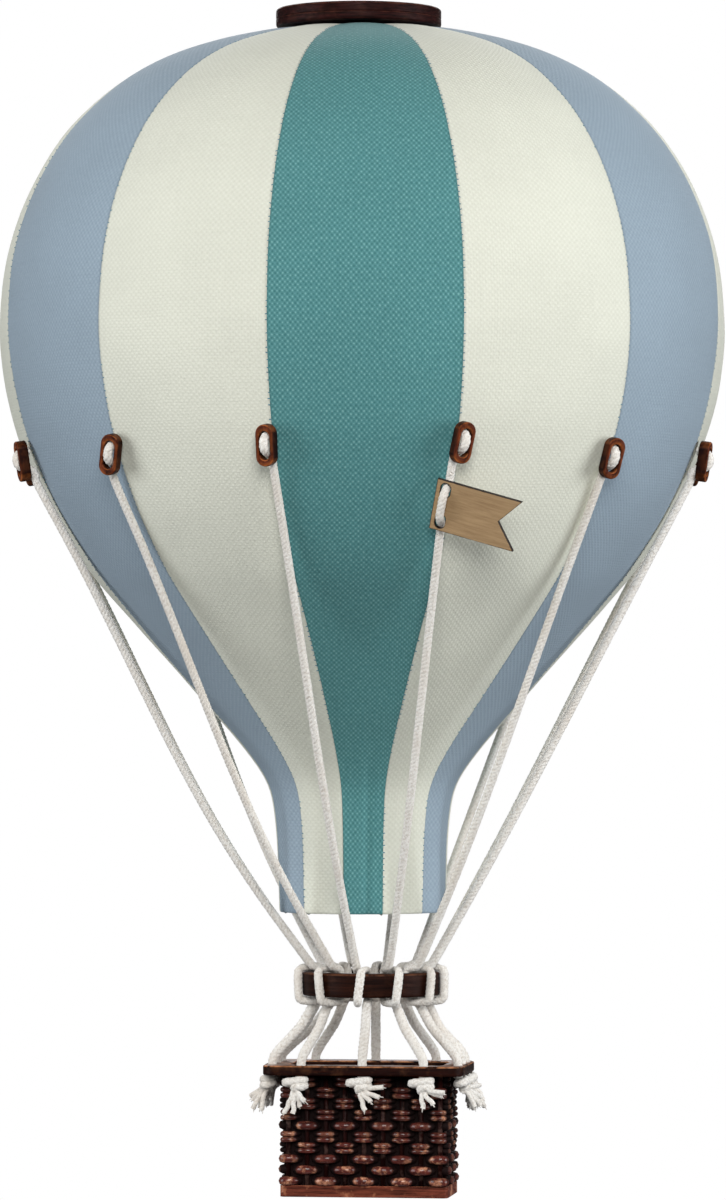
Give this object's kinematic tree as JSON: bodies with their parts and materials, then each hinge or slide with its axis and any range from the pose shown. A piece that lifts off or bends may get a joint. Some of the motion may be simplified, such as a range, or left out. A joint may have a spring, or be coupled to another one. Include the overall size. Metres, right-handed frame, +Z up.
{
  "type": "hot air balloon ornament",
  "caption": "Small hanging hot air balloon: striped fabric envelope, dark wooden eyelets and load ring, cotton ropes, wicker basket and a blank wooden flag tag that swivels.",
  "frame": {"origin": "on the top disc's upper face, on the envelope's axis, where the balloon hangs", "axes": "+Z up, front towards -Y, +X to the viewer's right"},
  "size_m": [0.201, 0.201, 0.33],
  "materials": {
    "teal_fabric": "plain woven cotton",
    "cream_fabric": "plain woven cotton",
    "blue_fabric": "plain woven cotton",
    "rope": "twisted cotton",
    "dark_wood": "dark stain and varnish",
    "wicker": "dark varnished wicker",
    "tag_wood": "bare light plywood, burnt edges"
  },
  "bodies": {
    "balloon": {"basket_base": "dark_wood", "basket_rim": "dark_wood", "basket_walls": "wicker", "eyelet_01": "dark_wood", "eyelet_02": "dark_wood", "eyelet_03": "dark_wood", "eyelet_04": "dark_wood", "eyelet_05": "dark_wood", "eyelet_06": "dark_wood", "eyelet_07": "dark_wood", "eyelet_08": "dark_wood", "eyelet_09": "dark_wood", "eyelet_10": "dark_wood", "eyelet_11": "dark_wood", "eyelet_12": "dark_wood", "gore_01": "teal_fabric", "gore_02": "cream_fabric", "gore_03": "blue_fabric", "gore_04": "cream_fabric", "gore_05": "teal_fabric", "gore_06": "cream_fabric", "gore_07": "blue_fabric", "gore_08": "cream_fabric", "gore_09": "teal_fabric", "gore_10": "cream_fabric", "gore_11": "blue_fabric", "gore_12": "cream_fabric", "load_ring": "dark_wood", "stay_01_head": "rope", "stay_01_tail": "rope", "stay_02": "rope", "stay_03": "rope", "stay_04": "rope", "stay_05": "rope", "stay_06": "rope", "stay_07": "rope", "stay_08": "rope", "stay_09": "rope", "stay_10": "rope", "stay_11": "rope", "stay_12": "rope", "top_disc": "dark_wood"},
    "tag": {"tag_plate": "tag_wood", "tag_cord": "rope"}
  },
  "joints": [
    {"name": "tag_swivel", "type": "hinge", "parent": "balloon", "child": "tag", "pos_m": [0.02202, -0.08626, -0.14007], "axis": [-0.1566, 0.4289, -0.8897], "range_deg": [-35, 20]}
  ]
}
